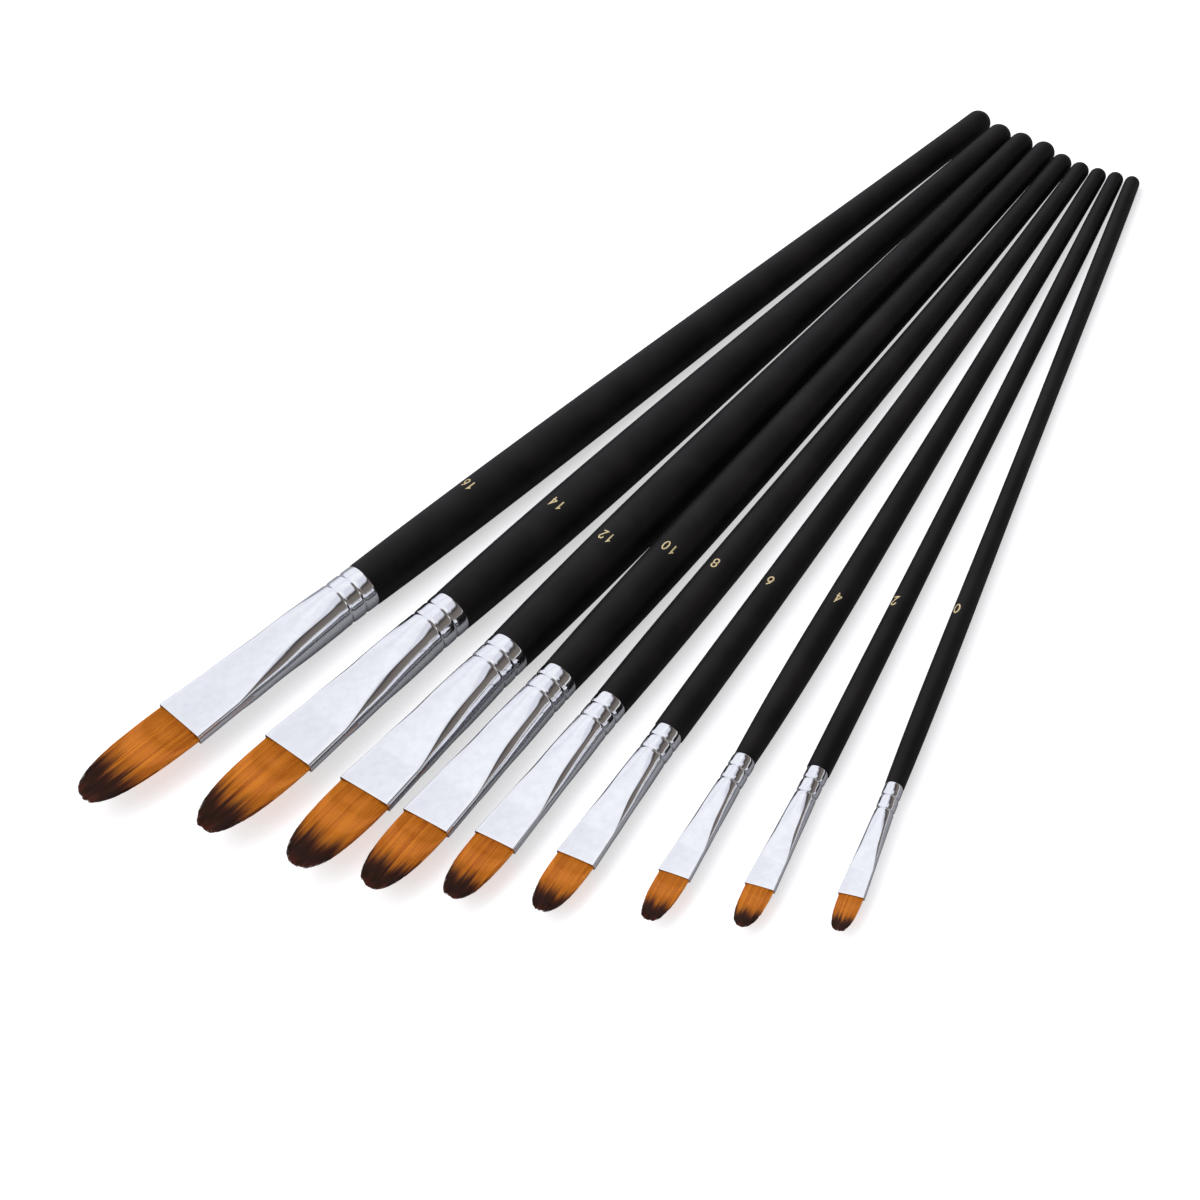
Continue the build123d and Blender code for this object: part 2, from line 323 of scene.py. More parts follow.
@dataclass(frozen=True)
class Filament:
    """Two-tone synthetic filament: golden brown, dyed dark at the tips."""

    gold: tuple = (0.72, 0.25, 0.016)
    amber: tuple = (0.46, 0.115, 0.004)
    dark: tuple = (0.034, 0.0105, 0.0050)
    rust: tuple = (0.100, 0.022, 0.010)
    roughness: float = 0.50
    unevenness: float = 0.40

    def material(self) -> bpy.types.Material:
        """The finish as a material."""
        constants = {"IOR": 1.5, "Specular IOR Level": 0.3}
        return new_finish("two_tone_filament", constants, self._vary)

    def _vary(self, graph: Graph) -> dict:
        """Each strand has its own shade, and turns dark over its last stretch."""
        shade = graph.attribute("shade")
        tip = graph.attribute("from_tip")
        body = graph.mix(shade.step(0.05, 0.95), self.amber, self.gold)
        dyed = tip + shade * self.unevenness
        reddish = graph.mix(dyed.step(0.95, 1.75), self.rust, body)
        edge = graph.mix(tip.step(0.0, 0.35), self.rust, self.dark)
        colour = graph.mix(dyed.step(0.76, 1.42), edge, reddish)
        return {
            "Base Color": colour,
            "Roughness": self.roughness + (shade - 0.5) * 0.2,
        }


@dataclass(frozen=True)
class Foil:
    """Pale gold stamping foil."""

    colour: tuple = (0.62, 0.50, 0.27)
    rubbed: tuple = (0.30, 0.24, 0.14)

    def material(self) -> bpy.types.Material:
        """The finish as a material."""
        return new_finish("gold_foil", {"Metallic": 0.35}, self._vary)

    def _vary(self, graph: Graph) -> dict:
        """Foil that is rubbed thin in places."""
        rub = graph.noise(graph.place(), 3200.0, 3.0)
        return {
            "Base Color": graph.mix(rub.step(0.52, 0.70), self.colour, self.rubbed),
            "Roughness": 0.35 + rub * 0.2,
        }


@dataclass(frozen=True)
class Resin:
    """Cured brown epoxy."""

    colour: tuple = (0.16, 0.085, 0.035)
    pale: tuple = (0.26, 0.15, 0.065)
    dimple_depth: float = 0.00008

    def material(self) -> bpy.types.Material:
        """The finish as a material."""
        return new_finish("cured_resin", {"IOR": 1.55}, self._vary)

    def _vary(self, graph: Graph) -> dict:
        """Cloudy resin with small bubbles."""
        cloud = graph.noise(graph.place(), 900.0, 3.0)
        return {
            "Base Color": graph.mix(cloud.step(0.4, 0.7), self.colour, self.pale),
            "Roughness": 0.25 + cloud * 0.2,
            "Normal": graph.bump(cloud, self.dimple_depth, 0.4),
        }


@dataclass(frozen=True)
class TableTop:
    """Plain pale table top."""

    colour: tuple = (0.62, 0.62, 0.625)
    glow: tuple = (0.56, 0.56, 0.56)
    # colour the table takes only in mirror reflections: painted shade on the plated parts
    mirrored: tuple = (0.30, 0.30, 0.31)
    no_glow: tuple = (0.0, 0.0, 0.0)

    def material(self) -> bpy.types.Material:
        """The finish as a material."""
        constants = {"Roughness": 0.9, "Specular IOR Level": 0.0, "Emission Strength": 1.0}
        return new_finish("pale_table", constants, self._vary)

    def _vary(self, graph: Graph) -> dict:
        """Painted shade in reflections: the table is dimmer, and without glow, in mirror reflections, where the
        plated parts show it, than seen directly.
        """
        path = graph.node(Kind.LIGHT_PATH)
        mirrored = Value(graph, path.outputs["Is Glossy Ray"])
        return {
            "Base Color": graph.mix(mirrored, self.colour, self.mirrored),
            "Emission Color": graph.mix(mirrored, self.glow, self.no_glow),
        }


# ---------------------------------------------------------------- meshes


def own_object(name: str, bm: bmesh.types.BMesh, material: bpy.types.Material) -> bpy.types.Object:
    """Turn a bmesh into a smooth-shaded object at the origin.

    Args:
        name: The object's name.
        bm: The shape, which is freed.
        material: Its finish.

    Returns:
        The new object.
    """
    mesh = bpy.data.meshes.new(name)
    bm.to_mesh(mesh)
    bm.free()
    mesh.polygons.foreach_set("use_smooth", np.ones(len(mesh.polygons), bool))
    mesh.materials.append(material)
    made = bpy.data.objects.new(name, mesh)
    bpy.context.scene.collection.objects.link(made)
    return made


def turned(profile: np.ndarray, steps: int, closed: bool) -> bmesh.types.BMesh:
    """Turn a profile about Z.

    Args:
        profile: Radius and height of each point.
        steps: Segments of a full turn.
        closed: Whether the last point joins the first.

    Returns:
        The turned shape with its normals outward.
    """
    bm = bmesh.new()
    points = [bm.verts.new((radius, 0.0, height)) for radius, height in profile]
    pairs = list(zip(points, points[1:])) + ([(points[-1], points[0])] if closed else [])
    edges = [bm.edges.new(pair) for pair in pairs]
    bmesh.ops.spin(
        bm,
        geom=points + edges,
        cent=(0.0, 0.0, 0.0),
        axis=(0.0, 0.0, 1.0),
        angle=math.tau,
        steps=steps,
        use_merge=True,
    )
    bmesh.ops.remove_doubles(bm, verts=bm.verts, dist=MERGE_DISTANCE)
    bmesh.ops.recalc_face_normals(bm, faces=bm.faces)
    return bm


def reshape(mesh: bpy.types.Mesh, points: np.ndarray) -> None:
    """Move a mesh's vertices to new points."""
    mesh.vertices.foreach_set("co", points.astype(np.float32).ravel())
    mesh.update()


def points_of(mesh: bpy.types.Mesh) -> np.ndarray:
    """A mesh's vertices as rows."""
    points = np.zeros(len(mesh.vertices) * 3, np.float32)
    mesh.vertices.foreach_get("co", points)
    return points.reshape(-1, 3).astype(float)


def store(mesh: bpy.types.Mesh, name: str, numbers: np.ndarray) -> None:
    """Store a number on each vertex."""
    layer = mesh.attributes.new(name, "FLOAT", "POINT")
    layer.data.foreach_set("value", numbers.astype(np.float32).ravel())


def ramp(numbers: np.ndarray, start: float, end: float) -> np.ndarray:
    """Straight change from 0 at start to 1 at end."""
    return np.clip((numbers - start) / (end - start), 0.0, 1.0)


def smooth(numbers: np.ndarray) -> np.ndarray:
    """Round the ends of a ramp."""
    return numbers * numbers * (3.0 - 2.0 * numbers)


# ---------------------------------------------------------------- sizes read from the frame


@dataclass(frozen=True)
class BrushSize:
    """Sizes and place of one brush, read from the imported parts, in millimetres."""

    number: int
    placement: Matrix
    collar: float
    crimps: tuple
    tube_start: float
    knee: float
    mouth_at: float
    mouth_half: tuple
    tenon_end: float
    handle_fit: np.ndarray
    handle_length: float
    hair_half: tuple
    tip_at: float

    def radius(self, along: Any) -> Any:
        """Handle radius at a distance from the rim."""
        return np.polyval(self.handle_fit, along)

    def world(self, point: tuple) -> tuple:
        """A point of the brush's own space in the row frame."""
        return tuple(self.placement @ Vector(point))


def in_brush_space(node: str, placement: Matrix) -> np.ndarray:
    """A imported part's vertices in a brush's own space."""
    points = points_of(frame["nodes"][node].data)
    into = np.array(placement.inverted())
    return points @ into[:3, :3].T + into[:3, 3]


def brush_axes(number: int) -> Matrix:
    """Own space of a brush: z to the tail, x across, millimetres, origin where the hair flexes."""
    hinge = next(joint for joint in frame["joints"] if joint["name"] == f"flex_{number}")
    grip = next(mount for mount in frame["record"]["mounts"] if mount["name"] == f"grip_{number}")
    across, heading = Vector(hinge["axis"]).normalized(), Vector(grip["axis"]).normalized()
    turn = Matrix((across, heading.cross(across), heading)).transposed().to_4x4()
    return Matrix.Translation(Vector(hinge["pos_m"])) @ turn @ Matrix.Scale(MM, 4)


def read_size(number: int) -> BrushSize:
    """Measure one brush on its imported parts.

    Args:
        number: The brush's size number.

    Returns:
        Its sizes, with the origin of its own space moved to the ferrule's rim.
    """
    rough = brush_axes(number)
    rim = in_brush_space(f"ferrule_{number}", rough)[:, 2].max()
    placement = rough @ Matrix.Translation((0.0, 0.0, rim))
    ferrule = in_brush_space(f"ferrule_{number}", placement)
    handle = in_brush_space(f"handle_{number}", placement)
    root = in_brush_space(f"hair_root_{number}", placement)
    tuft = in_brush_space(f"hair_tuft_{number}", placement)
    spread = np.hypot(ferrule[:, 0], ferrule[:, 1])
    collar = spread[ferrule[:, 2] > -0.01].max()
    on_collar = ferrule[np.abs(spread - collar) < 0.005]
    edges = np.unique(np.round(np.abs(on_collar[:, 2]), 2))
    mouth_at = -ferrule[:, 2].min()
    mouth = np.abs(ferrule[-ferrule[:, 2] > mouth_at - 0.01])
    tall = -ferrule[np.abs(ferrule[:, 1]) > mouth[:, 1].max() + 0.02][:, 2]
    flats = -ferrule[-ferrule[:, 2] > tall.max() + 0.01][:, 2]
    body = handle[handle[:, 2] > 0.01]
    length = body[:, 2].max()
    turned_part = body[body[:, 2] < length - 0.45 * collar]
    fit = np.polyfit(turned_part[:, 2], np.hypot(turned_part[:, 0], turned_part[:, 1]), 5)
    return BrushSize(
        number=number,
        placement=placement,
        collar=collar,
        crimps=((edges[1] + edges[2]) / 2.0, (edges[3] + edges[4]) / 2.0),
        tube_start=edges[5],
        knee=flats.min(),
        mouth_at=mouth_at,
        mouth_half=(mouth[:, 0].max(), mouth[:, 1].max()),
        tenon_end=-handle[:, 2].min(),
        handle_fit=fit,
        handle_length=length,
        hair_half=(np.abs(root[-root[:, 2] > mouth_at - 0.01][:, 0]).max(), np.abs(tuft[:, 1]).max()),
        tip_at=-tuft[:, 2].min(),
    )


# ---------------------------------------------------------------- parts of a brush


@dataclass
class Handle:
    """Turned wooden handle with its tenon, in millimetres."""

    size: BrushSize
    material: bpy.types.Material
    steps: int = 72
    stations: int = 90
    shoulder: float = 0.22  # rounding of the handle's end at the rim
    shoulder_steps: int = 6
    tail_steps: int = 14
    fit: float = 0.29  # tenon's radius under the collar's
    waist_depth: float = 0.32
    waist_half: float = 0.85

    def build(self) -> bpy.types.Object:
        """Turn the handle and place it.

        Returns:
            The handle, riding on its brush.
        """
        size = self.size
        bm = turned(self._profile(), self.steps, closed=False)
        bm.transform(size.placement)
        made = own_object(f"lacquered_handle_{size.number}", bm, self.material)
        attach(made, f"brush_{size.number}")
        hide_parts(f"handle_{size.number}")
        return made

    def _profile(self) -> np.ndarray:
        """Radius and height from the tenon's end to the tail."""
        size = self.size
        tenon_r = size.collar - self.fit
        waists = []
        for crimp in reversed(size.crimps):
            waists += [
                (tenon_r, -crimp - self.waist_half),
                (tenon_r - self.waist_depth, -crimp),
                (tenon_r, -crimp + self.waist_half),
            ]
        tail_r = size.radius(size.handle_length - size.collar / 2.0)
        start_r = size.radius(0.0)
        bevel = self.shoulder
        turn = np.linspace(0.0, math.pi / 2.0, self.shoulder_steps)
        shoulder = np.column_stack(
            (start_r - bevel + bevel * np.sin(turn), bevel - bevel * np.cos(turn))
        )
        along = np.linspace(bevel * 1.5, size.handle_length - tail_r, self.stations)
        body = np.column_stack((size.radius(along), along))
        end_r = size.radius(size.handle_length - tail_r)
        turn = np.linspace(0.0, math.pi / 2.0, self.tail_steps)[1:]
        tail = np.column_stack(
            (end_r * np.cos(turn), size.handle_length - tail_r + tail_r * np.sin(turn))
        )
        head = [(0.0, -size.tenon_end), (tenon_r, -size.tenon_end), *waists, (tenon_r, 0.0)]
        tail[-1, 0] = 0.0
        return np.vstack((head, shoulder, body, tail))


@dataclass
class Ferrule:
    """Seamless ferrule: two crimps on a round collar, then a tube pressed flat to its mouth.

    Lengths are in millimetres. From the collar to the knee the tube's top is pressed down and its
    sides stay round, and a crease on each side parts the two.
    """

    size: BrushSize
    material: bpy.types.Material
    steps: int = 96
    ring_step: float = 0.14
    pressed_rings: int = 60
    lip_steps: int = 9
    wall: float = 0.25
    crimp_depth: float = 0.32
    crimp_half: float = 0.75
    band_crown: float = 0.13  # how far each collar band swells in its middle
    crown_angle: float = math.radians(42.0)  # from the top to the crease, at the collar
    mouth_roundness: float = math.radians(78.0)  # arc of each side at the mouth
    mouth_crease: float = 0.93  # crease at the mouth, as a share of the half width
    flare: tuple = (0.50, 1.0)  # where the crease runs outward, as shares of collar to knee
    fall: float = 1.22  # power of the fall in height towards the knee
    shoulder: float = 0.10  # share of the pressed length in which the circle is left behind
    shoulder_height: float = 0.77  # crease's height at the collar, as a share of the top's
    flat_from: float = 0.55  # share of collar to knee past which the top is flat
    lens: float = 0.12  # rise of the flat's middle over its creases
    crease_at: float = math.radians(60.0)  # crease's place among the straight tube's vertices

    def build(self) -> bpy.types.Object:
        """Make the ferrule and place it.

        Returns:
            The ferrule, riding on its brush.
        """
        size = self.size
        bm = turned(self._profile(), self.steps, closed=True)
        made = own_object(f"nickel_ferrule_{size.number}", bm, self.material)
        points = self._pressed(points_of(made.data))
        turn = np.array(size.placement)
        reshape(made.data, points @ turn[:3, :3].T + turn[:3, 3])
        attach(made, f"brush_{size.number}")
        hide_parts(f"ferrule_{size.number}")
        return made

    def _profile(self) -> np.ndarray:
        """Radius and distance from the rim of the straight tube's wall."""
        size, wall = self.size, self.wall
        half_wall = wall / 2.0
        crimped = np.arange(wall, size.tube_start, self.ring_step)
        pressed = np.linspace(size.tube_start, size.mouth_at - half_wall, self.pressed_rings)
        outside = [(0.0, along) for along in (*crimped, *pressed)]
        turn = np.linspace(0.0, math.pi, self.lip_steps)[1:-1]
        lip = [
            (half_wall - half_wall * math.cos(t), size.mouth_at - half_wall + half_wall * math.sin(t))
            for t in turn
        ]
        inside = [(wall, along) for along in reversed((*crimped[::2], *pressed[::3]))]
        rim = [(half_wall + half_wall * math.cos(t), half_wall - half_wall * math.sin(t)) for t in turn]
        rows = np.array(outside + lip + inside + rim)
        return np.column_stack((STRAIGHT_R - rows[:, 0], rows[:, 1]))

    def _collar_radius(self, along: np.ndarray) -> np.ndarray:
        """Outside radius of the round collar, with its crimps and crowned bands."""
        size = self.size
        radius = np.full(along.shape, size.collar)
        edges = (0.0, *size.crimps)
        for start, end in zip(edges, edges[1:]):
            middle, half = (start + end) / 2.0, (end - start) / 2.0
            inside = (along >= start) & (along <= end)
            radius -= inside * self.band_crown * np.abs((along - middle) / half) ** 4
        after = ramp(along, size.crimps[1], size.tube_start)
        radius -= (along > size.crimps[1]) * self.band_crown * (1.0 - after) ** 2
        for crimp in size.crimps:
            near = np.clip(np.abs(along - crimp) / self.crimp_half, 0.0, 1.0)
            radius -= (self.crimp_depth - self.band_crown) * (1.0 - smooth(near))
        return radius

    def _pressed(self, points: np.ndarray) -> np.ndarray:
        """Press the straight tube into the ferrule's shape.

        Args:
            points: Vertices of the straight tube.

        Returns:
            Vertices of the ferrule in the brush's own space.
        """
        size = self.size
        along = points[:, 2]
        inset = STRAIGHT_R - np.hypot(points[:, 0], points[:, 1])
        turn = np.arctan2(np.abs(points[:, 1]), np.abs(points[:, 0]))
        on_side = np.clip(turn / self.crease_at, 0.0, 1.0)
        on_flat = ramp(turn, self.crease_at, math.pi / 2.0)
        crease_angle = math.pi / 2.0 - self.crown_angle
        round_angle = on_side * crease_angle + on_flat * self.crown_angle
        round_r = self._collar_radius(along) - inset
        circle = np.column_stack((round_r * np.cos(round_angle), round_r * np.sin(round_angle)))
        knee = ramp(along, size.tube_start, size.knee)
        flared = smooth(ramp(knee, *self.flare))
        wide = size.collar - inset
        wide += ramp(along, size.tube_start, size.mouth_at) * (size.mouth_half[0] - size.collar)
        high = size.collar - knee**self.fall * (size.collar - size.mouth_half[1]) - inset
        crease_x = math.cos(crease_angle) * (1.0 - flared) + self.mouth_crease * flared
        flatness = smooth(ramp(knee, 0.0, self.flat_from))
        crease_y = high * self.shoulder_height * (1.0 - flatness) + (high - self.lens) * flatness
        side_angle = crease_angle * (1.0 - flared) + self.mouth_roundness * flared
        bulge = (1.0 - np.cos(on_side * side_angle)) / (1.0 - np.cos(side_angle))
        side_x = 1.0 - (1.0 - crease_x) * bulge
        side_y = crease_y * np.sin(on_side * side_angle) / np.sin(side_angle)
        across = np.where(on_flat > 0.0, crease_x * (1.0 - on_flat), side_x)
        crown = (high - crease_y) * (1.0 - (1.0 - on_flat) ** 2)
        flattened = np.column_stack((across * wide, np.where(on_flat > 0.0, crease_y + crown, side_y)))
        press = smooth(ramp(knee, 0.0, self.shoulder))[:, None]
        section = circle * (1.0 - press) + flattened * press
        signs = np.where(points[:, :2] < 0.0, -1.0, 1.0)
        return np.column_stack((section * signs, -along))


@dataclass
class Hair:
    """Filbert bundle: a core under a few layers of single filaments, in millimetres."""

    size: BrushSize
    material: bpy.types.Material
    strand_d: float = 0.17
    strand_sides: int = 3
    strand_rings: int = 7
    spacing: float = 0.50  # between filaments of one layer, in filament diameters
    layers: tuple = (1.0, 0.96, 0.91, 0.80)  # depth of each layer, as a share of the half height
    end_insets: tuple = (0.0, 0.01, 0.025)
    core_steps: int = 48
    core_rings: int = 18
    core_share: float = 0.97
    core_shade: float = 0.45
    core_inset: tuple = (0.12, 0.07)
    mouth_room: float = 0.28
    converge: float = 0.42  # how far the filaments draw together at the tip
    swell: float = 1.10
    swell_at: float = 0.25
    tip_share: float = 0.20
    thin_from: float = 0.12
    thinning: float = 1.55
    clumps: float = 7.0  # on each half of the width
    clump_blur: float = 0.7
    clump_drift: float = 0.10
    own_drift: float = 0.06
    own_lift: float = 0.03
    inside: float = 1.5
    flex_length: float = 0.22
    ragged: float = 0.028
    fullness: float = 2.6
    shortest: float = 0.15
    taper_from: float = 0.65
    dyed_share: float = 0.33  # dark length, as a share of the free length
    streak: float = 0.11
    streak_waves: tuple = ((7.0, 1.0), (17.0, 0.8), (31.0, 0.5))  # rate and weight
    undyed: float = 4.0

    def build(self) -> bpy.types.Object:
        """Make the hair.

        Returns:
            The hair.
        """
        size = self.size
        random = np.random.default_rng(900 + size.number)
        bm = self._core()
        core_count = len(bm.verts)
        template = self._strand()
        roots = self._roots(random)
        for _ in range(len(roots)):
            bm.from_mesh(template)
        made = own_object(f"hair_{size.number}", bm, self.material)
        points = points_of(made.data)
        core, core_tip = self._shape_core(points[:core_count])
        shape = (len(roots), len(template.vertices), 3)
        strands, strand_tip, shade = self._shape_strands(points[core_count:].reshape(shape), roots, random)
        bpy.data.meshes.remove(template)
        turn = np.array(size.placement)
        reshape(made.data, np.vstack((core, strands)) @ turn[:3, :3].T + turn[:3, 3])
        store(made.data, "from_tip", np.concatenate((core_tip, strand_tip)))
        store(made.data, "shade", np.concatenate((np.full(core_count, self.core_shade), shade)))
        bend = size.mouth_at + self.flex_length * (size.tip_at - size.mouth_at)
        start, end = size.world((0.0, 0.0, -size.mouth_at)), size.world((0.0, 0.0, -bend))
        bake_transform(made)
        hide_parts(f"hair_tuft_{size.number}", f"hair_root_{size.number}")
        return made

    def _length(self) -> float:
        """Free length of the longest filament."""
        return self.size.tip_at - self.size.mouth_at

    def _core(self) -> bmesh.types.BMesh:
        """Straight closed rod of radius 1 whose height runs from -1 in the ferrule to 1 at the tip."""
        heights = np.concatenate(([-1.0, -1.0, -0.5], np.linspace(0.0, 1.0, self.core_rings)))
        radii = np.ones(len(heights))
        radii[0] = 0.0
        radii[-1] = 0.0
        return turned(np.column_stack((radii, heights)), self.core_steps, closed=False)

    def _strand(self) -> bpy.types.Mesh:
        """One straight filament of radius 1 and length 1, pointed at its far end."""
        bm = bmesh.new()
        bmesh.ops.create_circle(bm, cap_ends=True, segments=self.strand_sides, radius=1.0)
        cap = bm.faces[:]
        for _ in range(self.strand_rings):
            grown = bmesh.ops.extrude_face_region(bm, geom=cap)["geom"]
            cap = [part for part in grown if isinstance(part, bmesh.types.BMFace)]
            moved = [part for part in grown if isinstance(part, bmesh.types.BMVert)]
            bmesh.ops.translate(bm, verts=moved, vec=(0.0, 0.0, 1.0 / self.strand_rings))
        bmesh.ops.recalc_face_normals(bm, faces=bm.faces)
        mesh = bpy.data.meshes.new("strand")
        bm.to_mesh(mesh)
        bm.free()
        return mesh

    def _roots(self, random: np.random.Generator) -> np.ndarray:
        """Root of each filament across the mouth: share of the half width, and of the half height."""
        half_w, half_h = self.size.hair_half
        rows = []
        per_row = int(2.0 * half_w / (self.strand_d * self.spacing))
        for depth in self.layers:
            for side in (1.0, -1.0):
                across = (np.arange(per_row) + random.random(per_row)) / per_row * 2.0 - 1.0
                rows.append(np.column_stack((across, np.full(per_row, side * depth))))
        per_end = int(2.0 * half_h / (self.strand_d * self.spacing))
        for side in (1.0, -1.0):
            for inset in self.end_insets:
                up = (np.arange(per_end) + random.random(per_end)) / per_end * 2.0 - 1.0
                rows.append(np.column_stack((np.full(per_end, side * (1.0 - inset)), up)))
        return np.vstack(rows)

    def _half_height(self, share: np.ndarray) -> np.ndarray:
        """Half thickness of the bundle's middle at a share of its free length."""
        start = self.size.mouth_half[1] - self.mouth_room
        rise = 1.0 + (self.swell - 1.0) * np.sin(ramp(share, 0.0, self.swell_at) * math.pi / 2.0)
        thin = 1.0 - (1.0 - self.tip_share) * ramp(share, self.thin_from, 1.0) ** self.thinning
        return start * rise * thin

    def _lens(self, across: np.ndarray) -> np.ndarray:
        """Height of the bundle's lens-like section at a share of its half width."""
        return (1.0 - np.clip(np.abs(across), 0.0, 1.0) ** self.fullness) ** 0.5

    def _shape_core(self, points: np.ndarray) -> tuple:
        """Shape the rod into the bundle's core.

        Args:
            points: Vertices of the straight rod.

        Returns:
            Its vertices, and how far each is from the tip in dark lengths.
        """
        share = np.clip(points[:, 2], 0.0, 1.0)
        outline = self._outline(share)
        across = points[:, 0]
        side_inset, top_inset = self.core_inset
        half_w = self.size.hair_half[0] - side_inset
        x = across * half_w * outline * self.core_share
        off_axis = np.hypot(points[:, 0], points[:, 1]) > 0.5
        half_h = self._half_height(share) - top_inset
        y = np.sign(points[:, 1]) * self._lens(across) * half_h * off_axis
        free = self._length() * self.core_share
        along = np.where(points[:, 2] < 0.0, points[:, 2] * self.inside, share * free)
        tip = (1.0 - share) / self.dyed_share
        return np.column_stack((x, y, -self.size.mouth_at - along)), np.clip(tip, 0.0, self.undyed)

    def _outline(self, share: np.ndarray) -> np.ndarray:
        """Half width of the bundle's outline, from 1 at the mouth to 0 at the tip.

        The same curve read the other way gives how far a filament reaches.
        """
        return (1.0 - np.clip(share, 0.0, 1.0) ** self.fullness) ** (1.0 / self.fullness)

    def _shape_strands(self, points: np.ndarray, roots: np.ndarray, random: np.random.Generator) -> tuple:
        """Lay straight filaments along the bundle.

        Args:
            points: Vertices of each straight filament.
            roots: Where each filament leaves the mouth.
            random: Source of the small differences between filaments.

        Returns:
            The vertices, how far each is from its tip in dark lengths, and its shade.
        """
        count = len(roots)
        across, level = roots[:, 0], roots[:, 1]
        clump = (across + 1.0) * self.clumps + random.random(count) * self.clump_blur
        clump = np.floor(clump).astype(int)
        clump_push = random.normal(0.0, 1.0, clump.max() + 2)
        clump_short = random.random(clump.max() + 2)
        keep = np.abs(across) * (1.0 - self.converge) / (1.0 - self.converge * np.abs(across))
        reach = np.maximum(self._outline(keep), self.shortest)
        short = 1.0 - self.ragged * (0.5 * random.random(count) + 0.9 * clump_short[clump] ** 2)
        reach = reach * short
        share = points[:, :, 2]
        distance = share * (reach[:, None] * self._length() + self.inside) - self.inside
        free = np.clip(distance / self._length(), 0.0, 1.0)
        outline = self._outline(free)
        narrow = 1.0 - self.converge * (1.0 - outline)
        half_w = self.size.hair_half[0] - self.strand_d / 2.0
        drift = self.clump_drift * clump_push[clump] + self.own_drift * random.normal(0.0, 1.0, count)
        drift = drift[:, None] * free**2
        x = across[:, None] * half_w * narrow + drift
        crown = self._lens(across)[:, None]
        lift = self.own_lift * random.normal(0.0, 1.0, count)[:, None] * free
        y = level[:, None] * crown * (self._half_height(free) - self.strand_d / 2.0) + lift
        taper = 1.0 - 0.75 * ramp(share, self.taper_from, 1.0) ** 1.5
        thick = self.strand_d / 2.0 * (0.8 + 0.4 * random.random(count))[:, None] * taper
        placed = np.stack(
            (
                x + points[:, :, 0] * thick,
                y + points[:, :, 1] * thick,
                -self.size.mouth_at - distance,
            ),
            axis=2,
        )
        own_tip = (1.0 - share) * reach[:, None] / self.dyed_share
        phases = random.random(len(self.streak_waves)) * math.tau
        streaks = 0.5 * random.normal(0.0, 1.0, count)
        for (rate, weight), phase in zip(self.streak_waves, phases):
            streaks += weight * np.sin(across * rate + phase)
        tip = (1.0 - free) / self.dyed_share * 0.9 + own_tip * 0.1 + self.streak * streaks[:, None]
        shade = 0.55 * random.random(count) + 0.45 * random.random(clump.max() + 2)[clump]
        tip = np.clip(tip, 0.0, self.undyed)
        return placed.reshape(-1, 3), tip.ravel(), np.repeat(shade, points.shape[1])


@dataclass
class Brush:
    """One brush: handle, ferrule, hair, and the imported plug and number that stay."""

    size: BrushSize
    finishes: dict

    def build(self) -> list:
        """Build the brush's own pieces.

        Returns:
            The new pieces.
        """
        made = [
            Handle(self.size, self.finishes["lacquer"]).build(),
            Ferrule(self.size, self.finishes["nickel"]).build(),
            Hair(self.size, self.finishes["hair"]).build(),
        ]
        for piece in made:
            log.info("%s: %d faces", piece.name, len(piece.data.polygons))
        return made

    def dress(self) -> None:
        """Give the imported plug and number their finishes."""
        for node, finish in (("glue_plug", "resin"), ("size_mark", "foil")):
            piece = frame["nodes"][f"{node}_{self.size.number}"]
            piece.data.materials.clear()
            piece.data.materials.append(self.finishes[finish])
            log.info("%s: %s", piece.name, finish)


# ---------------------------------------------------------------- studio


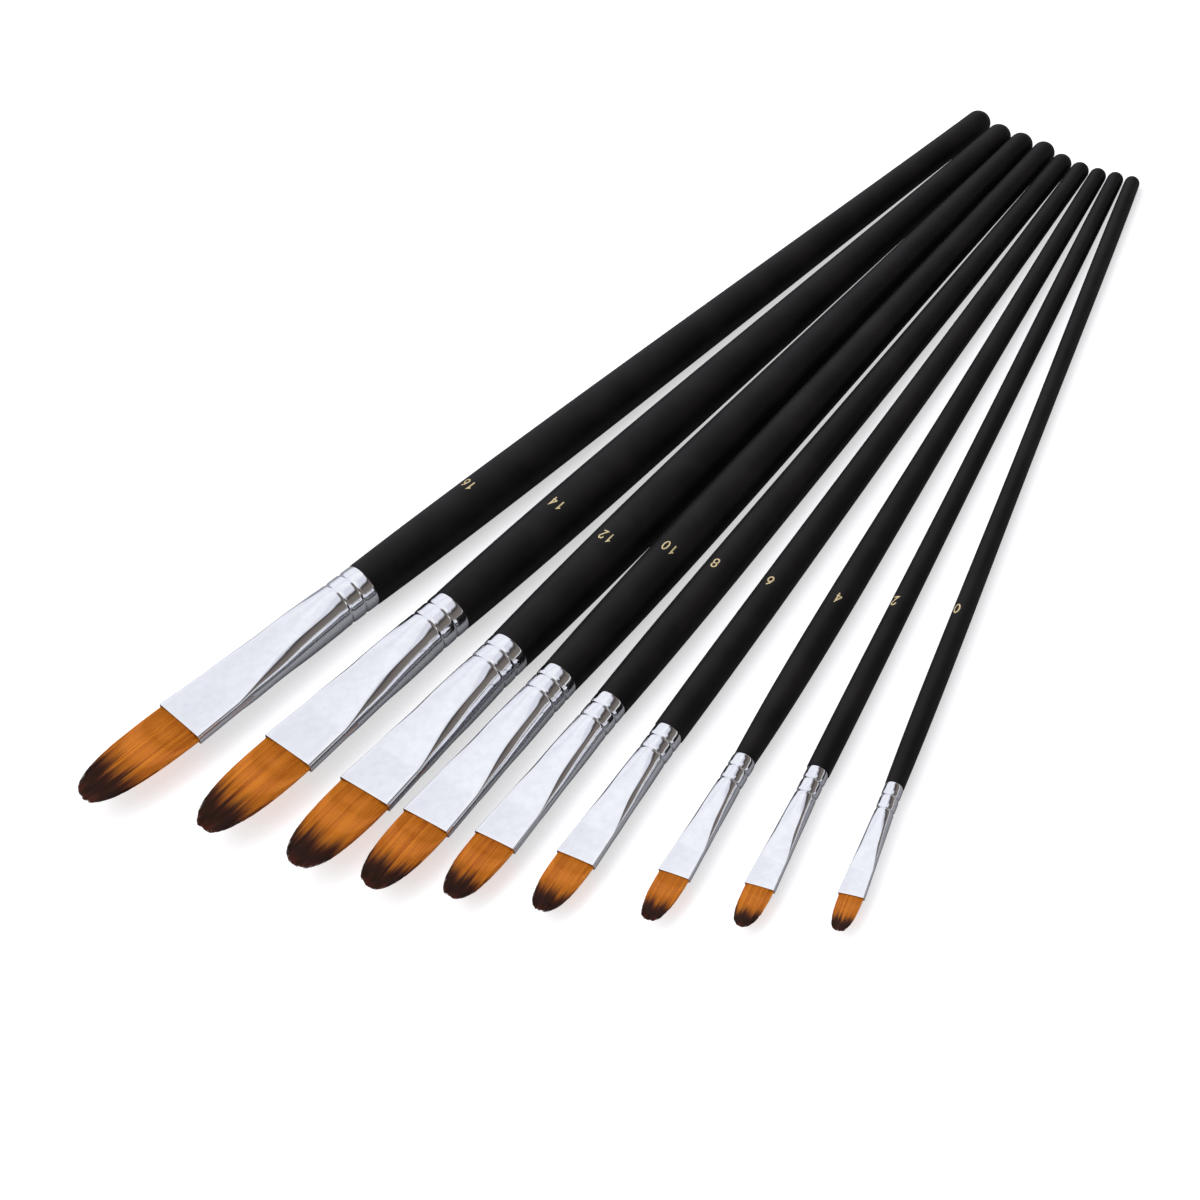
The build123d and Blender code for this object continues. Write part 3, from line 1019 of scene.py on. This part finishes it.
@dataclass
class Studio:
    """Table, soft light and camera."""

    lens: float = 78.0
    sensor: float = 36.0
    elevation: float = math.radians(46.90)
    roll: float = math.radians(-13.56)
    distance: float = 0.6481
    aim: tuple = (-0.01957, -0.01498)
    table_half: float = 20.0
    sky_strength: float = 1.0
    window_side: tuple = (
        (0.00, (0.30, 0.32, 0.40)),
        (0.07, (0.34, 0.36, 0.44)),
        (0.13, (0.86, 0.88, 0.95)),
        (0.58, (1.00, 1.01, 1.06)),
        (0.72, (0.91, 0.92, 0.97)),
        (0.86, (1.04, 1.05, 1.09)),
        (1.00, (0.95, 0.96, 1.00)),
    )
    shelf_side: tuple = (
        (0.00, (0.10, 0.10, 0.12)),
        (0.05, (0.10, 0.10, 0.12)),
        (0.08, (1.00, 1.00, 1.00)),
        (0.14, (0.95, 0.95, 0.97)),
        (0.19, (0.22, 0.195, 0.18)),
        (0.55, (0.17, 0.145, 0.13)),
        (0.74, (0.035, 0.03, 0.03)),
        (0.82, (0.80, 0.81, 0.88)),
    )

    def build(self) -> None:
        """Build the whole studio."""
        self._table()
        self._camera()
        self._sky()
        self._lamp("back_softbox", (-0.30, 0.55, 1.00), 1.2, 6.0, (0.98, 0.99, 1.0))
        self._lamp("left_softbox", (-0.95, -0.35, 0.85), 0.9, 5.0, (1.0, 0.99, 0.98))
        bpy.context.scene.view_settings.view_transform = "Standard"

    def _table(self) -> None:
        """Plain pale table top."""
        bm = bmesh.new()
        bmesh.ops.create_grid(bm, x_segments=1, y_segments=1, size=self.table_half)
        top = own_object("table_top", bm, TableTop().material())

    def _camera(self) -> None:
        """Camera at the picture's height and roll."""
        low, high = cad_box
        middle = (low + high) / 2.0
        target = Vector((middle.x + self.aim[0], middle.y + self.aim[1], 0.0))
        look = Vector((0.0, math.cos(self.elevation), -math.sin(self.elevation)))
        right = Vector((1.0, 0.0, 0.0))
        up = right.cross(look)
        rolled_right = right * math.cos(self.roll) + up * math.sin(self.roll)
        rolled_up = up * math.cos(self.roll) - right * math.sin(self.roll)
        data = bpy.data.cameras.new("camera")
        data.lens, data.sensor_width = self.lens, self.sensor
        camera = bpy.data.objects.new("camera", data)
        turn = Matrix((rolled_right, rolled_up, -look)).transposed().to_4x4()
        camera.matrix_world = Matrix.Translation(target - look * self.distance) @ turn
        bpy.context.scene.collection.objects.link(camera)
        bpy.context.scene.camera = camera

    def _sky(self) -> None:
        """Room light: white above and behind, dim brown to the right and in front."""
        world = bpy.data.worlds.new("room")
        bpy.context.scene.world = world
        graph = Graph(world)
        direction = graph.node(Kind.COORDINATES).outputs["Generated"]
        parts = graph.node(Kind.SEPARATE, {}, {0: direction})
        east, north, up = (Value(graph, parts.outputs[axis]) for axis in ("X", "Y", "Z"))
        window = graph.node(Kind.RAMP, {"stops": self.window_side}, {"Fac": up})
        shelf = graph.node(Kind.RAMP, {"stops": self.shelf_side}, {"Fac": up})
        shelf_share = (east * 0.9 - north * 0.45).step(0.10, 0.28)
        sky = graph.mix(shelf_share, window.outputs[0], shelf.outputs[0])
        background = graph.tree.nodes["Background"]
        graph.feed(background.inputs["Color"], sky)
        graph.feed(background.inputs["Strength"], self.sky_strength)

    def _lamp(self, name: str, place: tuple, size: float, power: float, colour: tuple) -> None:
        """Add one square softbox that faces the set.

        Args:
            name: The lamp's name.
            place: Where it hangs, in metres.
            size: Its side.
            power: Its power in watts.
            colour: Its colour.
        """
        data = bpy.data.lights.new(name, "AREA")
        data.size, data.energy, data.color = size, power, colour
        lamp = bpy.data.objects.new(name, data)
        lamp.location = place
        lamp.visible_glossy = False
        lamp.rotation_euler = (-Vector(place)).to_track_quat("-Z", "Y").to_euler()
        bpy.context.scene.collection.objects.link(lamp)


def main() -> None:
    """Build the studio, then every brush in order of size."""
    logging.basicConfig(level=logging.INFO, format="%(name)s: %(message)s")
    Studio().build()
    finishes = {
        "lacquer": Lacquer().material(),
        "nickel": Nickel().material(),
        "hair": Filament().material(),
        "foil": Foil().material(),
        "resin": Resin().material(),
    }
    for number in NUMBERS:
        brush = Brush(read_size(number), finishes)
        brush.build()
        brush.dress()


if __name__ == "__main__":
    main()
